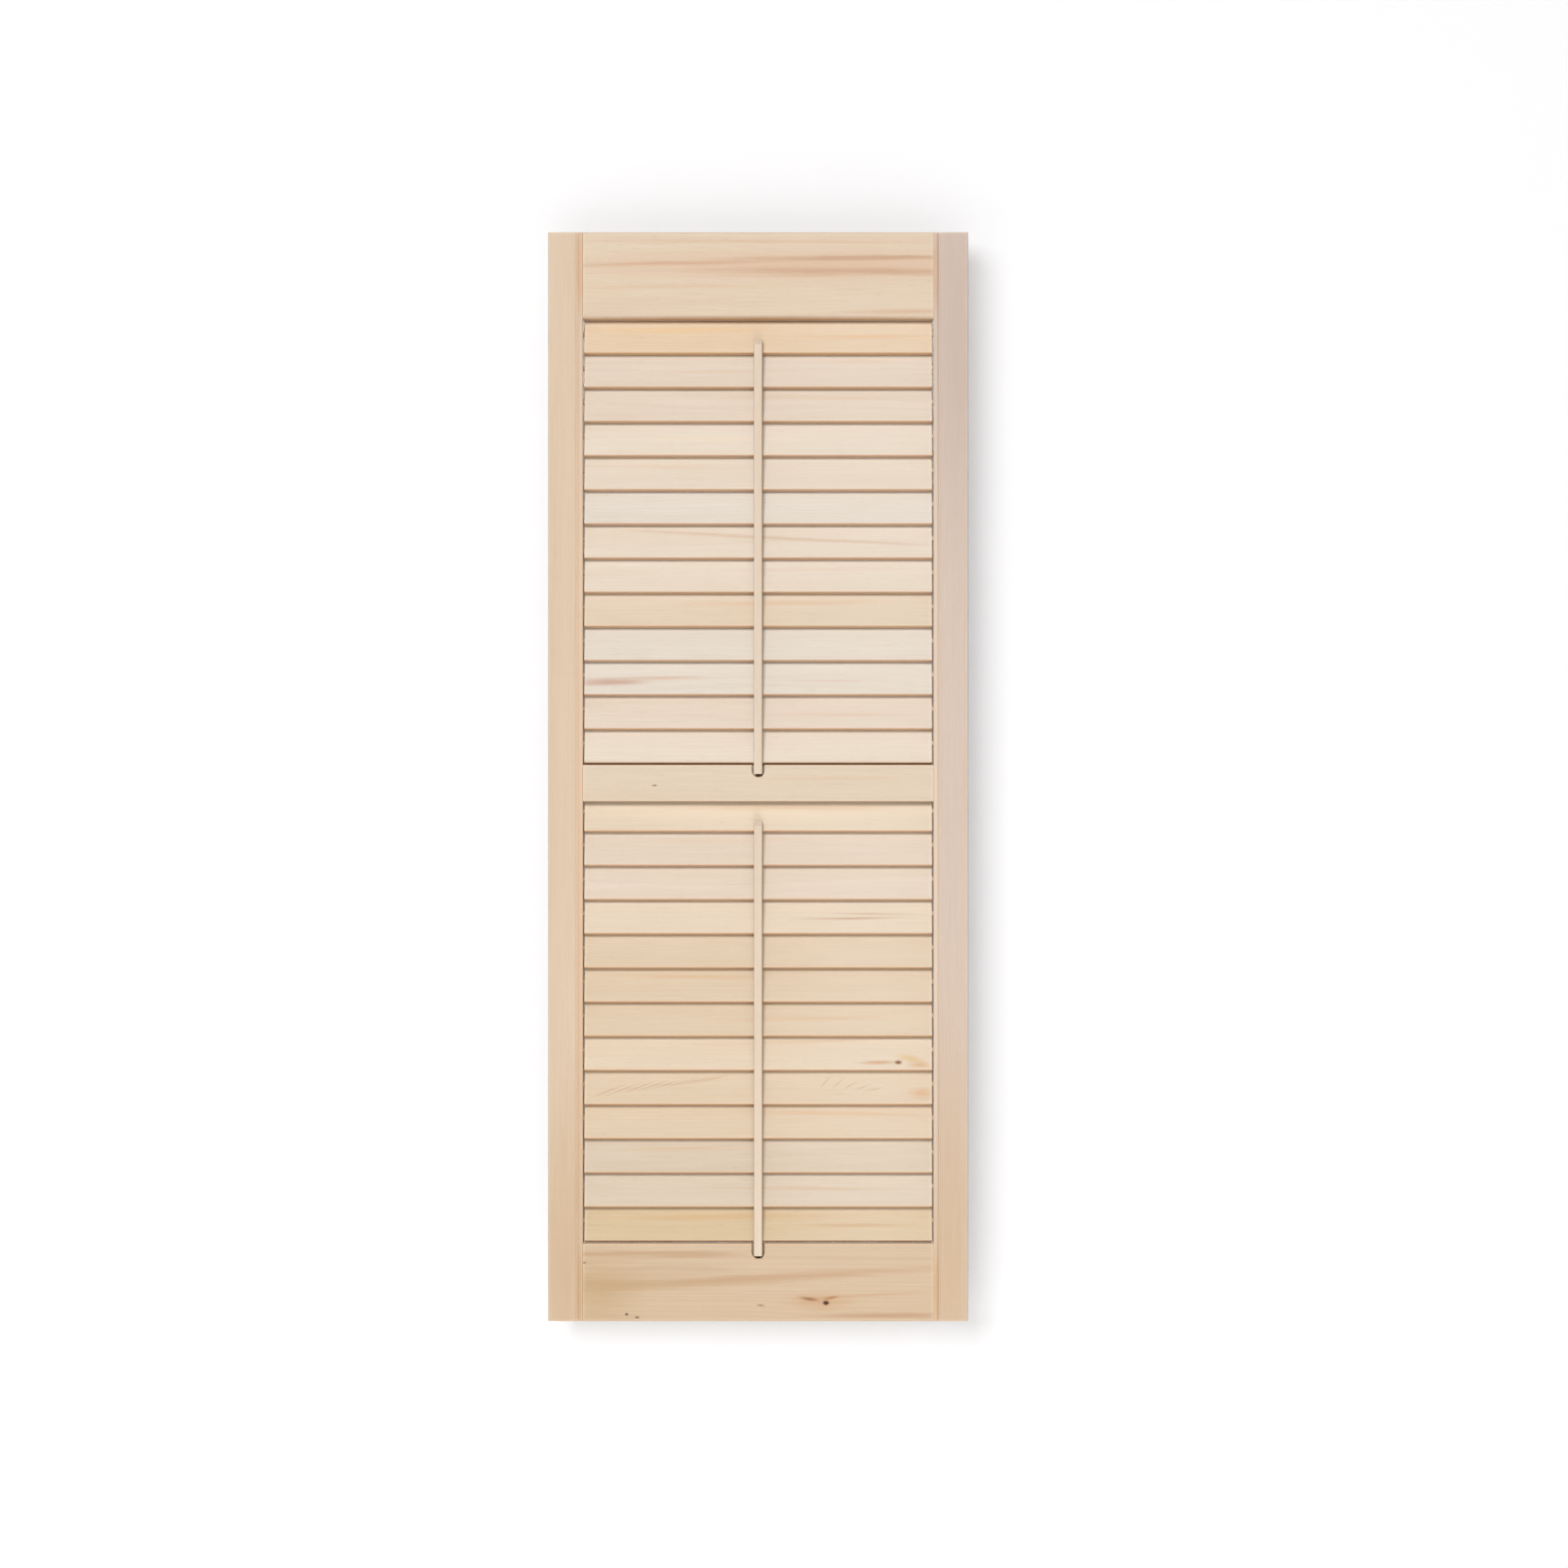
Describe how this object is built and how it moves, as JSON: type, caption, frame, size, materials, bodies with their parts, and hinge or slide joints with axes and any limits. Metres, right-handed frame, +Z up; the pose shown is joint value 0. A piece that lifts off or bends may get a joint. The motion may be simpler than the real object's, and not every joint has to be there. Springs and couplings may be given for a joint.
{
  "type": "louvered shutter panel",
  "caption": "Upright panel with two banks of overlapping movable louvers, each bank turned together by a slim front tilt rod; bare pale wood.",
  "frame": {"origin": "middle of the bottom edge, halfway through the thickness of the stiles", "axes": "+Z up along the stiles, +X across the panel, -Y towards the room side with the tilt rods"},
  "size_m": [0.312, 0.0226, 0.809],
  "materials": {
    "stile_wood": "bare sanded pale softwood, grain upright",
    "rail_wood": "bare sanded pale softwood, grain across",
    "louver_wood": "bare sanded pale softwood, grain across, each louver its own tone",
    "rod_wood": "bare sanded pale softwood, grain upright",
    "dowel_wood": "plain beech dowel",
    "staple_wire": "drawn steel wire"
  },
  "bodies": {
    "frame": {"left_stile": "stile_wood", "right_stile": "stile_wood", "top_rail": "rail_wood", "middle_rail": "rail_wood", "bottom_rail": "rail_wood", "rail_dowels": "dowel_wood"},
    "upper_louver_01": {"upper_louver_01": "louver_wood", "upper_louver_staple_01": "staple_wire"},
    "upper_louver_02": {"upper_louver_02": "louver_wood", "upper_louver_staple_02": "staple_wire"},
    "upper_louver_03": {"upper_louver_03": "louver_wood", "upper_louver_staple_03": "staple_wire"},
    "upper_louver_04": {"upper_louver_04": "louver_wood", "upper_louver_staple_04": "staple_wire"},
    "upper_louver_05": {"upper_louver_05": "louver_wood", "upper_louver_staple_05": "staple_wire"},
    "upper_louver_06": {"upper_louver_06": "louver_wood", "upper_louver_staple_06": "staple_wire"},
    "upper_louver_07": {"upper_louver_07": "louver_wood", "upper_louver_staple_07": "staple_wire"},
    "upper_louver_08": {"upper_louver_08": "louver_wood", "upper_louver_staple_08": "staple_wire"},
    "upper_louver_09": {"upper_louver_09": "louver_wood", "upper_louver_staple_09": "staple_wire"},
    "upper_louver_10": {"upper_louver_10": "louver_wood", "upper_louver_staple_10": "staple_wire"},
    "upper_louver_11": {"upper_louver_11": "louver_wood", "upper_louver_staple_11": "staple_wire"},
    "upper_louver_12": {"upper_louver_12": "louver_wood", "upper_louver_staple_12": "staple_wire"},
    "upper_louver_13": {"upper_louver_13": "louver_wood", "upper_louver_staple_13": "staple_wire"},
    "upper_tilt_rod": {"upper_tilt_rod": "rod_wood"},
    "lower_louver_01": {"lower_louver_01": "louver_wood", "lower_louver_staple_01": "staple_wire"},
    "lower_louver_02": {"lower_louver_02": "louver_wood", "lower_louver_staple_02": "staple_wire"},
    "lower_louver_03": {"lower_louver_03": "louver_wood", "lower_louver_staple_03": "staple_wire"},
    "lower_louver_04": {"lower_louver_04": "louver_wood", "lower_louver_staple_04": "staple_wire"},
    "lower_louver_05": {"lower_louver_05": "louver_wood", "lower_louver_staple_05": "staple_wire"},
    "lower_louver_06": {"lower_louver_06": "louver_wood", "lower_louver_staple_06": "staple_wire"},
    "lower_louver_07": {"lower_louver_07": "louver_wood", "lower_louver_staple_07": "staple_wire"},
    "lower_louver_08": {"lower_louver_08": "louver_wood", "lower_louver_staple_08": "staple_wire"},
    "lower_louver_09": {"lower_louver_09": "louver_wood", "lower_louver_staple_09": "staple_wire"},
    "lower_louver_10": {"lower_louver_10": "louver_wood", "lower_louver_staple_10": "staple_wire"},
    "lower_louver_11": {"lower_louver_11": "louver_wood", "lower_louver_staple_11": "staple_wire"},
    "lower_louver_12": {"lower_louver_12": "louver_wood", "lower_louver_staple_12": "staple_wire"},
    "lower_louver_13": {"lower_louver_13": "louver_wood", "lower_louver_staple_13": "staple_wire"},
    "lower_tilt_rod": {"lower_tilt_rod": "rod_wood"}
  },
  "joints": [
    {"name": "upper_tilt_01", "type": "hinge", "parent": "frame", "child": "upper_louver_01", "pos_m": [0, 0, 0.7343], "axis": [-1, 0, 0], "range_deg": [0, 114]},
    {"name": "upper_tilt_02", "type": "hinge", "parent": "frame", "child": "upper_louver_02", "pos_m": [0, 0, 0.7089], "axis": [-1, 0, 0], "range_deg": [0, 114]},
    {"name": "upper_tilt_03", "type": "hinge", "parent": "frame", "child": "upper_louver_03", "pos_m": [0, 0, 0.6835], "axis": [-1, 0, 0], "range_deg": [0, 114]},
    {"name": "upper_tilt_04", "type": "hinge", "parent": "frame", "child": "upper_louver_04", "pos_m": [0, 0, 0.6581], "axis": [-1, 0, 0], "range_deg": [0, 114]},
    {"name": "upper_tilt_05", "type": "hinge", "parent": "frame", "child": "upper_louver_05", "pos_m": [0, 0, 0.6327], "axis": [-1, 0, 0], "range_deg": [0, 114]},
    {"name": "upper_tilt_06", "type": "hinge", "parent": "frame", "child": "upper_louver_06", "pos_m": [0, 0, 0.6073], "axis": [-1, 0, 0], "range_deg": [0, 114]},
    {"name": "upper_tilt_07", "type": "hinge", "parent": "frame", "child": "upper_louver_07", "pos_m": [0, 0, 0.5819], "axis": [-1, 0, 0], "range_deg": [0, 114]},
    {"name": "upper_tilt_08", "type": "hinge", "parent": "frame", "child": "upper_louver_08", "pos_m": [0, 0, 0.5565], "axis": [-1, 0, 0], "range_deg": [0, 114]},
    {"name": "upper_tilt_09", "type": "hinge", "parent": "frame", "child": "upper_louver_09", "pos_m": [0, 0, 0.5311], "axis": [-1, 0, 0], "range_deg": [0, 114]},
    {"name": "upper_tilt_10", "type": "hinge", "parent": "frame", "child": "upper_louver_10", "pos_m": [0, 0, 0.5057], "axis": [-1, 0, 0], "range_deg": [0, 114]},
    {"name": "upper_tilt_11", "type": "hinge", "parent": "frame", "child": "upper_louver_11", "pos_m": [0, 0, 0.4803], "axis": [-1, 0, 0], "range_deg": [0, 114]},
    {"name": "upper_tilt_12", "type": "hinge", "parent": "frame", "child": "upper_louver_12", "pos_m": [0, 0, 0.4549], "axis": [-1, 0, 0], "range_deg": [0, 114]},
    {"name": "upper_tilt_13", "type": "hinge", "parent": "frame", "child": "upper_louver_13", "pos_m": [0, 0, 0.4295], "axis": [-1, 0, 0], "range_deg": [0, 114]},
    {"name": "upper_rod_pivot", "type": "hinge", "parent": "upper_louver_07", "child": "upper_tilt_rod", "pos_m": [0, -0.0043, 0.56404], "axis": [-1, 0, 0], "range_deg": [-114, 0]},
    {"name": "lower_tilt_01", "type": "hinge", "parent": "frame", "child": "lower_louver_01", "pos_m": [0, 0, 0.3788], "axis": [-1, 0, 0], "range_deg": [0, 101]},
    {"name": "lower_tilt_02", "type": "hinge", "parent": "frame", "child": "lower_louver_02", "pos_m": [0, 0, 0.3534], "axis": [-1, 0, 0], "range_deg": [0, 101]},
    {"name": "lower_tilt_03", "type": "hinge", "parent": "frame", "child": "lower_louver_03", "pos_m": [0, 0, 0.328], "axis": [-1, 0, 0], "range_deg": [0, 101]},
    {"name": "lower_tilt_04", "type": "hinge", "parent": "frame", "child": "lower_louver_04", "pos_m": [0, 0, 0.3026], "axis": [-1, 0, 0], "range_deg": [0, 101]},
    {"name": "lower_tilt_05", "type": "hinge", "parent": "frame", "child": "lower_louver_05", "pos_m": [0, 0, 0.2772], "axis": [-1, 0, 0], "range_deg": [0, 101]},
    {"name": "lower_tilt_06", "type": "hinge", "parent": "frame", "child": "lower_louver_06", "pos_m": [0, 0, 0.2518], "axis": [-1, 0, 0], "range_deg": [0, 101]},
    {"name": "lower_tilt_07", "type": "hinge", "parent": "frame", "child": "lower_louver_07", "pos_m": [0, 0, 0.2264], "axis": [-1, 0, 0], "range_deg": [0, 101]},
    {"name": "lower_tilt_08", "type": "hinge", "parent": "frame", "child": "lower_louver_08", "pos_m": [0, 0, 0.201], "axis": [-1, 0, 0], "range_deg": [0, 101]},
    {"name": "lower_tilt_09", "type": "hinge", "parent": "frame", "child": "lower_louver_09", "pos_m": [0, 0, 0.1756], "axis": [-1, 0, 0], "range_deg": [0, 101]},
    {"name": "lower_tilt_10", "type": "hinge", "parent": "frame", "child": "lower_louver_10", "pos_m": [0, 0, 0.1502], "axis": [-1, 0, 0], "range_deg": [0, 101]},
    {"name": "lower_tilt_11", "type": "hinge", "parent": "frame", "child": "lower_louver_11", "pos_m": [0, 0, 0.1248], "axis": [-1, 0, 0], "range_deg": [0, 101]},
    {"name": "lower_tilt_12", "type": "hinge", "parent": "frame", "child": "lower_louver_12", "pos_m": [0, 0, 0.0994], "axis": [-1, 0, 0], "range_deg": [0, 101]},
    {"name": "lower_tilt_13", "type": "hinge", "parent": "frame", "child": "lower_louver_13", "pos_m": [0, 0, 0.074], "axis": [-1, 0, 0], "range_deg": [0, 101]},
    {"name": "lower_rod_pivot", "type": "hinge", "parent": "lower_louver_07", "child": "lower_tilt_rod", "pos_m": [0, -0.0043, 0.20854], "axis": [-1, 0, 0], "range_deg": [-101, 0]}
  ],
  "couplings": [
    {"joint": "upper_tilt_01", "follows": "upper_tilt_07", "ratio": 1},
    {"joint": "upper_tilt_02", "follows": "upper_tilt_07", "ratio": 1},
    {"joint": "upper_tilt_03", "follows": "upper_tilt_07", "ratio": 1},
    {"joint": "upper_tilt_04", "follows": "upper_tilt_07", "ratio": 1},
    {"joint": "upper_tilt_05", "follows": "upper_tilt_07", "ratio": 1},
    {"joint": "upper_tilt_06", "follows": "upper_tilt_07", "ratio": 1},
    {"joint": "upper_tilt_08", "follows": "upper_tilt_07", "ratio": 1},
    {"joint": "upper_tilt_09", "follows": "upper_tilt_07", "ratio": 1},
    {"joint": "upper_tilt_10", "follows": "upper_tilt_07", "ratio": 1},
    {"joint": "upper_tilt_11", "follows": "upper_tilt_07", "ratio": 1},
    {"joint": "upper_tilt_12", "follows": "upper_tilt_07", "ratio": 1},
    {"joint": "upper_tilt_13", "follows": "upper_tilt_07", "ratio": 1},
    {"joint": "upper_rod_pivot", "follows": "upper_tilt_07", "ratio": -1},
    {"joint": "lower_tilt_01", "follows": "lower_tilt_07", "ratio": 1},
    {"joint": "lower_tilt_02", "follows": "lower_tilt_07", "ratio": 1},
    {"joint": "lower_tilt_03", "follows": "lower_tilt_07", "ratio": 1},
    {"joint": "lower_tilt_04", "follows": "lower_tilt_07", "ratio": 1},
    {"joint": "lower_tilt_05", "follows": "lower_tilt_07", "ratio": 1},
    {"joint": "lower_tilt_06", "follows": "lower_tilt_07", "ratio": 1},
    {"joint": "lower_tilt_08", "follows": "lower_tilt_07", "ratio": 1},
    {"joint": "lower_tilt_09", "follows": "lower_tilt_07", "ratio": 1},
    {"joint": "lower_tilt_10", "follows": "lower_tilt_07", "ratio": 1},
    {"joint": "lower_tilt_11", "follows": "lower_tilt_07", "ratio": 1},
    {"joint": "lower_tilt_12", "follows": "lower_tilt_07", "ratio": 1},
    {"joint": "lower_tilt_13", "follows": "lower_tilt_07", "ratio": 1},
    {"joint": "lower_rod_pivot", "follows": "lower_tilt_07", "ratio": -1}
  ]
}
